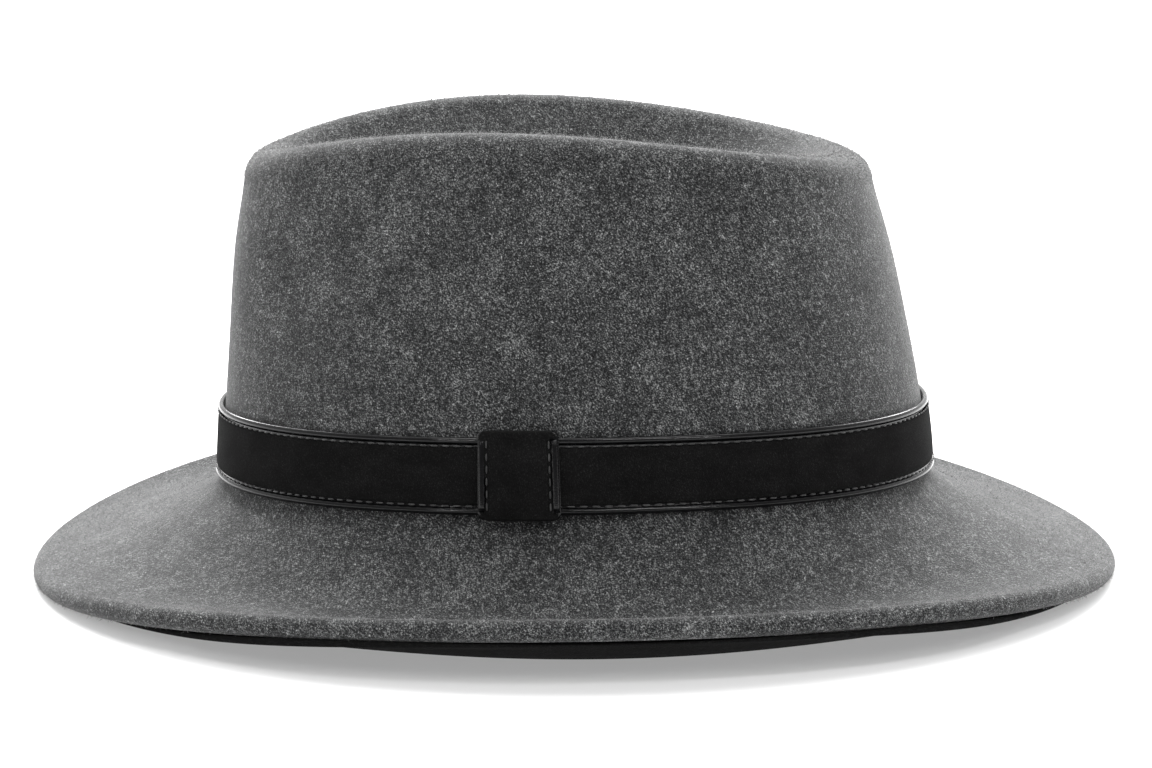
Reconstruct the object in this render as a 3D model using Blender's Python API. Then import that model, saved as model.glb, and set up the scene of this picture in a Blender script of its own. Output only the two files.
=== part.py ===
"""A wool-felt fedora with a teardrop crown, a curled brim and a stitched leather band.

Metres, +Z up, standing on the two ends of its brim. The front is at -Y and the wearer's left at +X.
The hat is described by one skin, its outer surface. An angle runs round it from the front over the
left side, and a station runs along it from the middle of the dent to the edge of the brim. Felt,
facing and lining are layers at a depth below that skin, and the band, its keeper and the sweatband
are sections swept along the wall of the crown, at a climb above its foot and a lift off its face.
"""

import math

import bmesh
import bpy
import numpy as np

COLLECTION = "fedora_hat"

# Crown: an oval foot for a 58 cm head, and a teardrop ridge round the dent.
FOOT_HALF_LENGTH = 0.1053
FOOT_HALF_WIDTH = 0.0871
FOOT_HEIGHT = 0.0262
FOOT_SIDE_RISE = 0.0043
FOOT_BACK_RISE = 0.0008
RIDGE_HALF_LENGTH = 0.083
RIDGE_HALF_WIDTH = 0.0615
RIDGE_MIDDLE_Y = -0.005
RIDGE_TAPER = 0.29
RIDGE_HEIGHT = 0.1340
RIDGE_FALL_TO_BACK = 0.0061
RIDGE_ARCH = 0.0105
RIDGE_FRONT_DROP = 0.0046
RIDGE_REACH = 0.090
RIDGE_RADIUS_SIDE = 0.0066
RIDGE_RADIUS_END = 0.0092
DENT_FLOOR = 0.0994
DENT_MIDDLE_Y = 0.004
DENT_STEEP_SIDE = math.radians(50)
DENT_STEEP_END = math.radians(36)
BULGE_FRONT = 0.0056
BULGE_SIDE = 0.0100
BULGE_BACK = 0.0165
SHOULDER = 0.10
PINCH_DEPTH = 0.0016
PINCH_ANGLE = 0.56
PINCH_SPREAD = 0.24
FOOT_ROUNDING = 0.0035

# Brim: an oval edge that touches the ground at the front and back and curls up at the sides.
EDGE_HALF_LENGTH = 0.1613
EDGE_HALF_WIDTH = 0.1419
EDGE_SIDE_RISE = 0.0166
EDGE_SIDE_FLAT = 0.0031
EDGE_RADIUS = 0.0029
EDGE_SUNK = 0.0005
BRIM_START_END = -0.62
BRIM_START_SIDE = -1.25
BRIM_EDGE_END = -0.33
BRIM_EDGE_SIDE = 1.02
BRIM_REACH = 0.055
FOOT_BRIM_SHARE = FOOT_ROUNDING / BRIM_REACH

# Layers, as depths below the skin.
FELT = 0.0022
GAP = 0.0003
FACING = 0.0022
FACING_SWELL = 0.0017
LINING = 0.0006
LINING_DEPTH = FELT + 2 * GAP
SWEATBAND = 0.0012
HEM_RETURN = 0.0008
LIP = 0.0020
LIP_THINNEST = 0.0004
LIP_REACH = 0.0016
LIP_BACK = HEM_RETURN + 0.0010
LIP_STARTS = 0.14
LIP_WHOLE = 0.80
WIRE_RADIUS = 0.00042
REED_RADIUS = 0.0011
SWEATBAND_FOOT = 0.0016
SWEATBAND_HEIGHT = 0.034
PIPING_RADIUS = 0.0007
RIBBON = 0.0005
BOW_HALF_WIDTH = 0.008
BOW_HALF_HEIGHT = 0.0032
LABEL_HALF_WIDTH = 0.011
LABEL_HEIGHT = 0.010
LABEL_ANGLE = math.radians(152)

# Band: a strap with a rolled border along each edge, a suede face and two rows of stitching.
BAND_CLIMB = 0.0032
BAND_HEIGHT = 0.0210
BAND_LEATHER = 0.0008
BAND_BORDER = 0.0020
BAND_BORDER_LIFT = 0.0018
BAND_FLARE = 0.0005
SUEDE = 0.0007
SUEDE_GAP = 0.0002
THREAD = 0.0004
THREAD_CHANNEL = 0.0009

# Keeper: a loop of the same leather, on the wearer's left, a little in front of the middle.
KEEPER_Y = -0.0220
KEEPER_HALF_WIDTH = 0.0111
KEEPER_BACK = 0.0005
KEEPER_BACK_LIFT = 0.0004
KEEPER_FRONT = 0.0008
KEEPER_BELOW = 0.0013
KEEPER_ABOVE = 0.0019
KEEPER_BORDER = 0.0020
KEEPER_BORDER_LIFT = 0.0017
KEEPER_TRAVEL = 0.008
KEEPER_FACE_INSET = 0.0006
KEEPER_SIDE_INSET = 0.0003
KEEPER_STITCH_INSET = 0.0010
BAND_RAMP_CLEAR = 0.003
BAND_RAMP_LENGTH = 0.012
BAND_END_GAP = 0.0004
WIRE_END_GAP = 0.0008
SWEATBAND_END_GAP = 0.0006
SEAM_HEIGHT = 0.003
BAND_STANDOFF = KEEPER_BACK_LIFT + KEEPER_BACK

SEGMENTS = 56
UP = np.array([0.0, 0.0, 1.0])
DIAMOND = ((1, 0), (0, 1), (-1, 0), (0, -1))
DENT_STATIONS = [0.16, 0.36, 0.56, 0.78]
RIDGE_STATIONS = [1.0, 1.28, 1.52, 1.82]
WALL_STATIONS = [2.0, 2.3, 2.58, 2.74, 2.88]
BRIM_STATIONS = [3.0, 3.5, 4.0, 4.16, 4.34, 4.52, 4.70, 4.84, 4.94, 5.0]
FACING_START = 3.4
FACING_END = 4.95
LINING_SEAM = 1.67
LINING_END = 2.8


def unit(vectors):
    return vectors / np.linalg.norm(vectors, axis=-1, keepdims=True)


def across(x, y, z):
    return np.stack(np.broadcast_arrays(x, y, z), axis=-1)


def around(count=SEGMENTS):
    return np.arange(count) * 2 * math.pi / count


def sideways(angle):
    """0 at the front and back, 1 at the sides."""
    return np.sin(angle) ** 2


def foot(angle):
    """The corner between crown and brim, before it is rounded."""
    height = FOOT_HEIGHT + FOOT_SIDE_RISE * sideways(angle) + FOOT_BACK_RISE * (1 - np.cos(angle)) / 2
    return across(FOOT_HALF_WIDTH * np.sin(angle), -FOOT_HALF_LENGTH * np.cos(angle), height)


def ridge_radius(angle):
    return RIDGE_RADIUS_END + (RIDGE_RADIUS_SIDE - RIDGE_RADIUS_END) * sideways(angle)


def ridge_centre(angle):
    """The centre of the round ridge at this angle. The ridge's top is one radius above it."""
    y = RIDGE_MIDDLE_Y - RIDGE_HALF_LENGTH * np.cos(angle)
    x = RIDGE_HALF_WIDTH * np.sin(angle) * (1 - RIDGE_TAPER * np.cos(angle))
    reach = y / RIDGE_REACH
    top = RIDGE_HEIGHT - RIDGE_FALL_TO_BACK * reach - RIDGE_ARCH * reach**2 + RIDGE_FRONT_DROP * reach**3
    return across(x, y, top - ridge_radius(angle))


def wall_frame(angle):
    """The foot, the wall's top, and the outward direction and lean of the wall at this angle."""
    low = foot(angle)
    centre = ridge_centre(angle)
    outward = unit((low - centre) * [1.0, 1.0, 0.0])
    reach = np.sum((low - centre) * outward, axis=-1)
    rise = centre[..., 2] - low[..., 2]
    radius = ridge_radius(angle)
    lean = np.arccos(radius / np.hypot(reach, rise)) - np.arctan2(rise, reach)
    normal = np.cos(lean)[..., None] * outward + np.sin(lean)[..., None] * UP
    return low, centre + radius[..., None] * normal, normal, lean


def bulge_size(angle):
    ends = BULGE_BACK + (BULGE_FRONT - BULGE_BACK) * (1 + np.cos(angle)) / 2
    return ends + (BULGE_SIDE - ends) * sideways(angle)


def pinch(angle, share):
    """How far the soft front pinch draws the wall in, on both sides of the front."""
    turned = np.abs((angle + math.pi) % (2 * math.pi) - math.pi)
    round_it = np.exp(-(((turned - PINCH_ANGLE) / PINCH_SPREAD) ** 2))
    return PINCH_DEPTH * round_it * np.sin(math.pi * np.clip((share - 0.3) / 0.7, 0, 1)) ** 2


def wall_skin(angle, climb):
    """The crown's wall, climb metres above its foot."""
    low, high, normal, _ = wall_frame(angle)
    length = np.linalg.norm(high - low, axis=-1)
    share = climb / length
    shoulder = SHOULDER * (1 - sideways(angle)) * share**6 * (1 - share) ** 2
    out = bulge_size(angle) * share * (1 - share) ** 2 + shoulder - pinch(angle, share)
    return low + (high - low) * share[..., None] + out[..., None] * normal


def wall_point(angle, climb, lift):
    """A point lift metres off the wall's face, or inside it where lift is negative."""
    angle, climb, lift = np.broadcast_arrays(angle, climb, lift)
    step = 1e-4
    along = wall_skin(angle + step, climb) - wall_skin(angle - step, climb)
    rising = wall_skin(angle, climb + step) - wall_skin(angle, climb - step)
    return wall_skin(angle, climb) + lift[..., None] * unit(np.cross(along, rising))


def edge_frame(angle):
    """The centre of the rolled edge, with the brim's outward and upward directions there."""
    share = sideways(angle)
    rise = EDGE_SIDE_RISE * share - EDGE_SIDE_FLAT * share**2
    centre = across(
        (EDGE_HALF_WIDTH - EDGE_RADIUS) * np.sin(angle),
        -(EDGE_HALF_LENGTH - EDGE_RADIUS) * np.cos(angle),
        EDGE_RADIUS - EDGE_SUNK + rise,
    )
    outward = unit((centre - foot(angle)) * [1.0, 1.0, 0.0])
    slope = BRIM_EDGE_END + (BRIM_EDGE_SIDE - BRIM_EDGE_END) * share**1.3
    along = unit(outward + slope[..., None] * UP)
    above = unit(UP - slope[..., None] * outward)
    return centre, along, above, outward, slope


def brim_skin(angle, share):
    """The brim's upper face, from the crown's foot at 0 to the top of the rolled edge at 1."""
    centre, _, above, outward, slope = edge_frame(angle)
    low = foot(angle)
    end = centre + EDGE_RADIUS * above
    reach = np.sum((end - low) * outward, axis=-1)
    start_slope = BRIM_START_END + (BRIM_START_SIDE - BRIM_START_END) * sideways(angle)
    height = (
        (2 * share**3 - 3 * share**2 + 1) * low[..., 2]
        + (share**3 - 2 * share**2 + share) * start_slope * reach
        + (3 * share**2 - 2 * share**3) * end[..., 2]
        + (share**3 - share**2) * slope * reach
    )
    flat = low + (end - low) * share[..., None]
    return across(flat[..., 0], flat[..., 1], height)


def foot_skin(angle, share):
    """The rounding between wall and brim, from the wall at 0 to the brim at 1."""
    upper = wall_skin(angle, np.full_like(angle, FOOT_ROUNDING))
    lower = brim_skin(angle, np.full_like(angle, FOOT_BRIM_SHARE))
    share = share[..., None]
    return upper * (1 - share) ** 2 + foot(angle) * 2 * share * (1 - share) + lower * share**2


def ridge_skin(angle, share):
    """The round ridge, from the dent at 0 over the top to the wall at 1."""
    _, _, _, lean = wall_frame(angle)
    centre = ridge_centre(angle)
    steep = dent_steepness(angle)
    turn = math.pi / 2 + steep + (lean - math.pi / 2 - steep) * share
    outside = unit((foot(angle) - centre) * [1.0, 1.0, 0.0])
    inside = unit((centre - dent_middle(angle)) * [1.0, 1.0, 0.0])
    outward = np.where((turn < math.pi / 2)[..., None], outside, inside)
    radius = ridge_radius(angle)[..., None]
    return centre + radius * (np.cos(turn)[..., None] * outward + np.sin(turn)[..., None] * UP)


def dent_steepness(angle):
    return DENT_STEEP_END + (DENT_STEEP_SIDE - DENT_STEEP_END) * sideways(angle)


def dent_middle(angle):
    return across(np.zeros_like(angle), DENT_MIDDLE_Y, DENT_FLOOR)


def dent_skin(angle, share):
    """The dent, from its middle at 0 to the ridge at 1."""
    rim = ridge_skin(angle, np.zeros_like(angle))
    middle = dent_middle(angle)
    steep = dent_steepness(angle)
    inward = unit((middle - rim) * [1.0, 1.0, 0.0])
    down = np.cos(steep)[..., None] * inward - np.sin(steep)[..., None] * UP
    depth = rim[..., 2] - DENT_FLOOR
    near_rim = rim + down * (0.85 * depth / np.sin(steep))[..., None]
    near_middle = middle + 0.42 * (rim - middle) * [1.0, 1.0, 0.0]
    share = share[..., None]
    back = 1 - share
    inner_half = middle * back**3 + near_middle * 3 * share * back**2
    return inner_half + near_rim * 3 * share**2 * back + rim * share**3


def skin(angle, station):
    """The hat's outer surface. Stations: 0 to 1 dent, 2 ridge, 3 wall, 4 foot, 5 brim."""
    angle, station = np.broadcast_arrays(np.asarray(angle, float), np.asarray(station, float))
    _, high, _, _ = wall_frame(angle)
    length = np.linalg.norm(high - foot(angle), axis=-1)
    pieces = (
        dent_skin(angle, np.clip(station, 0, 1)),
        ridge_skin(angle, np.clip(station - 1, 0, 1)),
        wall_skin(angle, length + (FOOT_ROUNDING - length) * np.clip(station - 2, 0, 1)),
        foot_skin(angle, np.clip(station - 3, 0, 1)),
        brim_skin(angle, FOOT_BRIM_SHARE + (1 - FOOT_BRIM_SHARE) * np.clip(station - 4, 0, 1)),
    )
    return np.choose(np.clip(station.astype(int), 0, 4)[..., None], pieces)


def layer(station, depth, angle=None):
    """A ring of points depth metres below the skin at this station."""
    angle = around() if angle is None else angle
    step = 1e-3
    along = skin(angle + step, station) - skin(angle - step, station)
    outward = skin(angle, min(station + step, 5)) - skin(angle, max(station - step, 1e-4))
    return skin(angle, station) + depth * unit(np.cross(along, outward))


def new_collection(name):
    bpy.context.scene.collection.children.link(bpy.data.collections.new(name))


def clear_scene():
    for obj in list(bpy.data.objects):
        bpy.data.objects.remove(obj)


def principled(name, color, roughness, metallic=0.0):
    made = bpy.data.materials.new(name)
    made.use_nodes = True
    shader = made.node_tree.nodes["Principled BSDF"]
    shader.inputs["Base Color"].default_value = (*color, 1.0)
    shader.inputs["Roughness"].default_value = roughness
    shader.inputs["Metallic"].default_value = metallic
    return made


def make_materials():
    return {
        "grey_felt": principled("grey_felt", (0.075, 0.077, 0.080), 0.95),
        "black_felt": principled("black_felt", (0.008, 0.008, 0.009), 0.95),
        "black_leather": principled("black_leather", (0.010, 0.010, 0.010), 0.28),
        "black_suede": principled("black_suede", (0.006, 0.006, 0.006), 0.95),
        "thread": principled("thread", (0.030, 0.030, 0.032), 0.6),
        "sweat_leather": principled("sweat_leather", (0.022, 0.018, 0.016), 0.5),
        "satin": principled("satin", (0.012, 0.012, 0.014), 0.3),
        "ribbon": principled("ribbon", (0.012, 0.012, 0.013), 0.7),
        "steel": principled("steel", (0.35, 0.35, 0.36), 0.35, 1.0),
    }


def add_solid(name, material, rings, wrap=False):
    """A closed solid through rings of points. A ring of one point is a pole, and a first or last
    ring of more points is closed by a face. With wrap the last ring joins the first instead."""
    mesh = bmesh.new()
    made = [[mesh.verts.new(point) for point in ring] for ring in rings]
    pairs = list(zip(made, made[1:]))
    if wrap:
        pairs.append((made[-1], made[0]))
    for one, two in pairs:
        count = max(len(one), len(two))
        for index in range(count):
            after = (index + 1) % count
            corners = [one[index % len(one)], one[after % len(one)]]
            corners += [two[after % len(two)], two[index % len(two)]]
            mesh.faces.new(list(dict.fromkeys(corners)))
    if not wrap:
        for ring in (made[0], made[-1]):
            if len(ring) > 2:
                mesh.faces.new(ring)
    bmesh.ops.recalc_face_normals(mesh, faces=mesh.faces)
    data = bpy.data.meshes.new(name)
    mesh.to_mesh(data)
    mesh.free()
    data.materials.append(material)
    data.shade_smooth()
    data.set_sharp_from_angle(angle=math.radians(40))
    obj = bpy.data.objects.new(name, data)
    bpy.data.collections[COLLECTION].objects.link(obj)
    return obj


def make_felt_body(materials):
    """Crown and brim are blocked from one felt cone, and its edge is rolled under over the wire."""
    middle = dent_middle(np.zeros(1))
    stations = DENT_STATIONS + RIDGE_STATIONS + WALL_STATIONS + BRIM_STATIONS
    outside = [middle] + [layer(station, 0.0) for station in stations]
    inside = [layer(station, FELT) for station in reversed(stations)] + [middle - FELT * UP]
    centre, along, above, _, _ = edge_frame(around())
    fold = EDGE_RADIUS - FELT

    def roll(radius, turn, back=0.0):
        return centre + radius * (math.cos(turn) * above + math.sin(turn) * along) - back * along

    outer = [roll(EDGE_RADIUS, math.pi * share) for share in (0.22, 0.44, 0.64, 0.82, 1.0)]
    end = [roll(EDGE_RADIUS, math.pi, HEM_RETURN), roll(fold, math.pi, HEM_RETURN)]
    inner = [roll(fold, math.pi * share) for share in (1.0, 0.67, 0.33)]
    rings = outside + outer + end + inner + inside
    for ring in rings:
        ring[:, 2] = np.maximum(ring[:, 2], 0.0)
    return add_solid("felt_body", materials["grey_felt"], rings)


def lip(angle):
    """The facing's own edge, which comes out under the roll between the ends and the sides."""
    centre, along, above, _, _ = edge_frame(angle)
    side = sideways(angle)
    share = np.clip((side - LIP_STARTS) / (LIP_WHOLE - LIP_STARTS), 0, 1)
    share = (share * share * (3 - 2 * share) * (1 - side**6))[:, None]
    out = GAP - LIP_BACK + share * (LIP_BACK + LIP_REACH)
    below = EDGE_RADIUS + GAP
    deep = below + LIP_THINNEST + share * LIP
    corners = (
        (-LIP_BACK, below, 2 * GAP + LIP_THINNEST),
        (out, below, 2 * GAP + LIP_THINNEST),
        (out - GAP / 2, deep, 2 * GAP),
    )
    rings = []
    for reach, depth, lowest in corners:
        ring = centre + reach * along - depth * above
        ring[:, 2] = np.maximum(ring[:, 2], lowest)
        rings.append(ring)
    return rings


def make_brim_facing(materials):
    """The black felt under the brim, from just outside the sweatband to its lip under the roll."""
    top = FELT + GAP
    stations = [station for station in BRIM_STATIONS if FACING_START <= station <= FACING_END]
    upper = [layer(station, top) for station in stations]
    swell = [FACING_SWELL * max(station - 4, 0) ** 2 for station in stations]
    lower = [layer(station, top + FACING + more) for station, more in zip(stations[::-1], swell[::-1])]
    for ring in upper + lower:
        ring[:, 2] = np.maximum(ring[:, 2], GAP)
    return add_solid("brim_facing", materials["black_felt"], upper + lip(around()) + lower, wrap=True)


def add_tube(name, material, angles, place, radius, sides=5, closed=False):
    """A round bar along place(angle), which gives its centre and two directions across it."""
    turns = np.arange(sides) * 2 * math.pi / sides
    rings = []
    for angle in angles:
        centre, one, two = place(np.array([angle]))
        rings.append(centre + radius * (np.cos(turns)[:, None] * one + np.sin(turns)[:, None] * two))
    return add_solid(name, material, rings, wrap=closed)


def open_ring(half_gap, start=math.pi):
    """Angles all the way round from start, short of it by half_gap at both ends."""
    return np.linspace(start + half_gap, start + 2 * math.pi - half_gap, SEGMENTS + 1)


def make_brim_wire(materials):
    """A spring wire inside the rolled edge. Its ends meet at the back in a crimped sleeve."""

    def place(angle):
        centre, along, above, _, _ = edge_frame(angle)
        return centre, along, above

    half_gap = WIRE_END_GAP / 2 / EDGE_HALF_WIDTH
    add_tube("brim_wire", materials["steel"], open_ring(half_gap), place, WIRE_RADIUS)


def wall_sweep(name, material, section, angles, lift=None):
    """A section of (climb, lift) corners swept round the crown's wall. lift(angle) is added to it."""
    climbs, lifts = np.array(section).T
    rings = []
    for angle in angles:
        extra = 0.0 if lift is None else lift(angle)
        rings.append(wall_point(np.full(len(section), angle), climbs, lifts + extra))
    return add_solid(name, material, rings)


def keeper_angle():
    return math.acos(-KEEPER_Y / FOOT_HALF_LENGTH)


def band_lift(angle):
    """The band stands off the crown where the keeper's back layer passes behind it."""
    away = abs((angle - keeper_angle() + math.pi) % (2 * math.pi) - math.pi) * FOOT_HALF_LENGTH
    clear = KEEPER_HALF_WIDTH + KEEPER_TRAVEL + BAND_RAMP_CLEAR
    share = min(max((away - clear) / BAND_RAMP_LENGTH, 0.0), 1.0)
    return GAP + BAND_STANDOFF * (1 - share * share * (3 - 2 * share))


def band_angles():
    """Round the crown, from one end of the strap to the other. The ends meet under the keeper."""
    half_gap = BAND_END_GAP / 2 / FOOT_HALF_LENGTH
    start = keeper_angle()
    near = np.linspace(half_gap, 0.34, 6)
    far = np.linspace(0.34, 2 * math.pi - 0.34, SEGMENTS - 8)[1:-1]
    return start + np.concatenate([near, far, 2 * math.pi - near[::-1]])


def make_band(materials):
    low, high = BAND_CLIMB, BAND_CLIMB + BAND_HEIGHT
    border, bead = BAND_BORDER, BAND_BORDER_LIFT

    def edge(at, inward):
        """The rolled border at one edge. inward is +1 or -1 up the wall."""
        return [
            (at, 0.5 * bead),
            (at + inward * 0.25 * border, bead),
            (at + inward * 0.80 * border, bead),
            (at + inward * border, BAND_LEATHER),
        ]

    section = [(high - 0.2 * border, 0.0), (low + 0.2 * border, BAND_FLARE)]
    section += edge(low, 1) + edge(high, -1)[::-1]
    angles = band_angles()
    wall_sweep("band_strap", materials["black_leather"], section, angles, lift=band_lift)

    channel = THREAD_CHANNEL
    foot_of, top_of = low + border + channel, high - border - channel
    under, over = BAND_LEATHER + SUEDE_GAP, BAND_LEATHER + SUEDE_GAP + SUEDE
    face = [(foot_of, under), (foot_of + 0.0001, over), (top_of - 0.0001, over), (top_of, under)]
    wall_sweep("band_suede_face", materials["black_suede"], face, angles, lift=band_lift)

    for name, middle in (
        ("band_lower_thread", low + border + channel / 2),
        ("band_upper_thread", high - border - channel / 2),
    ):
        corners = [(middle + THREAD / 2 * a, under + THREAD / 2 + THREAD / 2 * b) for a, b in DIAMOND]
        wall_sweep(name, materials["thread"], corners, angles, lift=band_lift)


def make_keeper(materials):
    """A loop of leather round the band. It is turned as one rigid piece when it slides."""
    centre = keeper_angle()
    half = KEEPER_HALF_WIDTH / FOOT_HALF_LENGTH
    low, high = BAND_CLIMB - KEEPER_BELOW, BAND_CLIMB + BAND_HEIGHT + KEEPER_ABOVE
    hole_low, hole_high = BAND_CLIMB - GAP, BAND_CLIMB + BAND_HEIGHT + GAP
    hole_back = KEEPER_BACK_LIFT + KEEPER_BACK
    front = GAP + BAND_STANDOFF + BAND_BORDER_LIFT + GAP
    outside = [
        (low, 0.0016),
        (low, front),
        (low + 0.0004, front + KEEPER_FRONT),
        (high - 0.0005, front + KEEPER_FRONT),
        (high, front),
        (high, 0.0009),
        (high - 0.0005, KEEPER_BACK_LIFT),
        (low + 0.0010, KEEPER_BACK_LIFT),
    ]
    inside = [
        (hole_low, hole_back + 0.0004),
        (hole_low, front - 0.0002),
        (hole_low + 0.0002, front),
        (hole_high - 0.0002, front),
        (hole_high, front - 0.0002),
        (hole_high, hole_back + 0.0002),
        (hole_high - 0.0003, hole_back),
        (hole_low + 0.0004, hole_back),
    ]
    border = KEEPER_BORDER / FOOT_HALF_LENGTH
    angles = centre + np.linspace(-half, half, 9)
    rings = []
    for path in (outside, inside):
        climbs, lifts = np.array(path).T
        rings.append([wall_point(np.full(len(path), angle), climbs, lifts) for angle in angles])
    loops = rings[0] + rings[1][::-1]
    add_solid("keeper_loop", materials["black_leather"], loops, wrap=True)

    under = front + KEEPER_FRONT + SUEDE_GAP
    for name, side in (("keeper_front_border", -1), ("keeper_back_border", 1)):
        edge = centre + side * (half - KEEPER_SIDE_INSET / FOOT_HALF_LENGTH)
        inner = edge - side * border
        bead = [(edge, 0.0), (edge, 0.5), (edge - side * border * 0.3, 1.0)]
        bead += [(edge - side * border * 0.7, 1.0), (inner, 0.5), (inner, 0.0)]
        rings = []
        for climb in np.linspace(low + KEEPER_FACE_INSET, high - KEEPER_FACE_INSET, 5):
            turned = np.array([angle for angle, _ in bead])
            lifts = np.array([under + share * (KEEPER_BORDER_LIFT - KEEPER_FRONT) for _, share in bead])
            rings.append(wall_point(turned, np.full(len(bead), climb), lifts))
        add_solid(name, materials["black_leather"], rings)

    channel = THREAD_CHANNEL / FOOT_HALF_LENGTH
    edge = half - KEEPER_SIDE_INSET / FOOT_HALF_LENGTH - border - channel
    face_angles = centre + np.linspace(-edge, edge, 7)
    face = [(low + KEEPER_FACE_INSET, under), (low + KEEPER_FACE_INSET, under + SUEDE)]
    face += [(high - KEEPER_FACE_INSET, under + SUEDE), (high - KEEPER_FACE_INSET, under)]
    wall_sweep("keeper_suede_face", materials["black_suede"], face, face_angles)
    for name, side in (("keeper_front_thread", -1), ("keeper_back_thread", 1)):
        at = centre + side * (edge + channel / 2)
        reach = THREAD / 2 / FOOT_HALF_LENGTH
        rings = []
        for climb in np.linspace(low + KEEPER_STITCH_INSET, high - KEEPER_STITCH_INSET, 5):
            turned = np.array([at + reach * a for a, _ in DIAMOND])
            lifts = np.array([under + THREAD / 2 + THREAD / 2 * b for _, b in DIAMOND])
            rings.append(wall_point(turned, np.full(len(DIAMOND), climb), lifts))
        add_solid(name, materials["thread"], rings)


def make_sweatband(materials):
    """A leather strip inside the foot of the crown. Its ends meet at the back under a small bow."""
    back = -(LINING_DEPTH + LINING + GAP)
    face = back - SWEATBAND
    low = SWEATBAND_FOOT
    climbs = [low + share * SWEATBAND_HEIGHT for share in (0.0, 0.35, 0.7, 1.0)]
    section = [(climb, back) for climb in climbs] + [(climb, face) for climb in reversed(climbs)]
    half_gap = SWEATBAND_END_GAP / 2 / FOOT_HALF_WIDTH
    wall_sweep("sweatband", materials["sweat_leather"], section, open_ring(half_gap))

    def reed_place(angle):
        centre = wall_point(angle, np.array([low - GAP - REED_RADIUS]), np.array([back - SWEATBAND / 2]))
        outward = wall_point(angle, np.array([low]), np.array([1.0])) - wall_skin(angle, np.array([low]))
        return centre, unit(outward), UP

    add_tube("sweatband_reed", materials["ribbon"], open_ring(half_gap), reed_place, REED_RADIUS)

    at = low + SEAM_HEIGHT
    corners = [(at + THREAD / 2 * a, face - GAP - THREAD / 2 + THREAD / 2 * b) for a, b in DIAMOND]
    wall_sweep("sweatband_seam", materials["thread"], corners, open_ring(half_gap))
    make_bow(materials, face - GAP)
    make_label(materials, face - 2 * GAP)


def make_bow(materials, face):
    """A flat ribbon bow over the sweatband's joint, narrow at its knot."""
    middle = SWEATBAND_FOOT + SWEATBAND_HEIGHT * 0.34
    rings = []
    for share in (-1.0, -0.6, -0.15, 0.15, 0.6, 1.0):
        height = BOW_HALF_HEIGHT * (0.45 + 0.55 * min(1.0, abs(share) / 0.6))
        climbs = np.array([middle - height, middle + height, middle + height, middle - height])
        knot = RIBBON * (3.0 if abs(share) < 0.2 else 1.6)
        lifts = np.array([face, face, face - knot, face - knot])
        turned = np.full(4, math.pi + share * BOW_HALF_WIDTH / FOOT_HALF_WIDTH)
        rings.append(wall_point(turned, climbs, lifts))
    add_solid("sweatband_bow", materials["ribbon"], rings)


def make_label(materials, face):
    """A blank size label on the sweatband, behind the left ear."""
    low = SWEATBAND_FOOT + SWEATBAND_HEIGHT * 0.42
    high = low + LABEL_HEIGHT
    section = [(low, face), (high, face), (high, face - RIBBON), (low, face - RIBBON)]
    half = LABEL_HALF_WIDTH / FOOT_HALF_LENGTH
    angles = LABEL_ANGLE + np.linspace(-half, half, 5)
    wall_sweep("size_label", materials["ribbon"], section, angles)


def make_lining(materials):
    """A satin side panel, its lower edge tucked behind the sweatband, and a tip under the dent."""
    top, under = LINING_DEPTH, LINING_DEPTH + LINING
    stations = DENT_STATIONS + RIDGE_STATIONS + WALL_STATIONS
    walls = [station for station in stations if LINING_SEAM < station < LINING_END]
    upper = [layer(station, top) for station in walls]
    lower = [layer(station, under) for station in reversed(walls)]
    add_solid("lining_side", materials["satin"], upper + lower, wrap=True)
    middle = dent_middle(np.zeros(1))
    dents = [station for station in stations if station < LINING_SEAM]
    upper = [middle - top * UP] + [layer(station, top) for station in dents]
    lower = [layer(station, under) for station in reversed(dents)] + [middle - under * UP]
    add_solid("lining_tip", materials["satin"], upper + lower)

    def piping_place(angle):
        centre = layer(LINING_SEAM, top + PIPING_RADIUS + GAP, angle)
        outward = unit(layer(LINING_SEAM, 0.0, angle) - centre)
        along = unit(layer(LINING_SEAM + 0.04, top, angle) - layer(LINING_SEAM - 0.04, top, angle))
        return centre, outward, along

    add_tube("lining_piping", materials["satin"], around(), piping_place, PIPING_RADIUS, closed=True)


def main():
    clear_scene()
    new_collection(COLLECTION)
    materials = make_materials()
    make_felt_body(materials)
    make_brim_facing(materials)
    make_brim_wire(materials)
    make_band(materials)
    make_keeper(materials)
    make_sweatband(materials)
    make_lining(materials)


main()
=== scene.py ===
"""Looks for the wool-felt fedora: every piece rebuilt smooth and finely detailed round the CAD frame.

The hat is one skin. An angle runs round it from the front over the left side, and a station runs
along it from the middle of the dent to the edge of the brim. Felt, facing and lining are layers at
a depth below that skin. Band, keeper and sweatband are sections swept along the crown's wall, at a
climb above its foot and a lift off its face. Metres, the front at -Y, the wearer's left at +X.
"""

import math

import bpy
import numpy as np
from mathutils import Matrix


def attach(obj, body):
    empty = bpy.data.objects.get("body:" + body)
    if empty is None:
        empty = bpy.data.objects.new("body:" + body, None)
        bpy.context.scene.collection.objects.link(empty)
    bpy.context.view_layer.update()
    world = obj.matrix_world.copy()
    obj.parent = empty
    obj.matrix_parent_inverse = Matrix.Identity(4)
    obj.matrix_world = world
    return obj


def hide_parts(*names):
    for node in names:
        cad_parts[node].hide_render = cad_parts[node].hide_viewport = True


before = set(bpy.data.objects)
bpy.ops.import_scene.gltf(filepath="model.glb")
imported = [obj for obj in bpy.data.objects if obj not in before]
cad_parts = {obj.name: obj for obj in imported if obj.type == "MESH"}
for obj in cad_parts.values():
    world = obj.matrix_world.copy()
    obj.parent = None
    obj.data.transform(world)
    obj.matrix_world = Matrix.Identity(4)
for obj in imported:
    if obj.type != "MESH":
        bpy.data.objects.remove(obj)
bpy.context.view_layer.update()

SEED = 11
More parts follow.
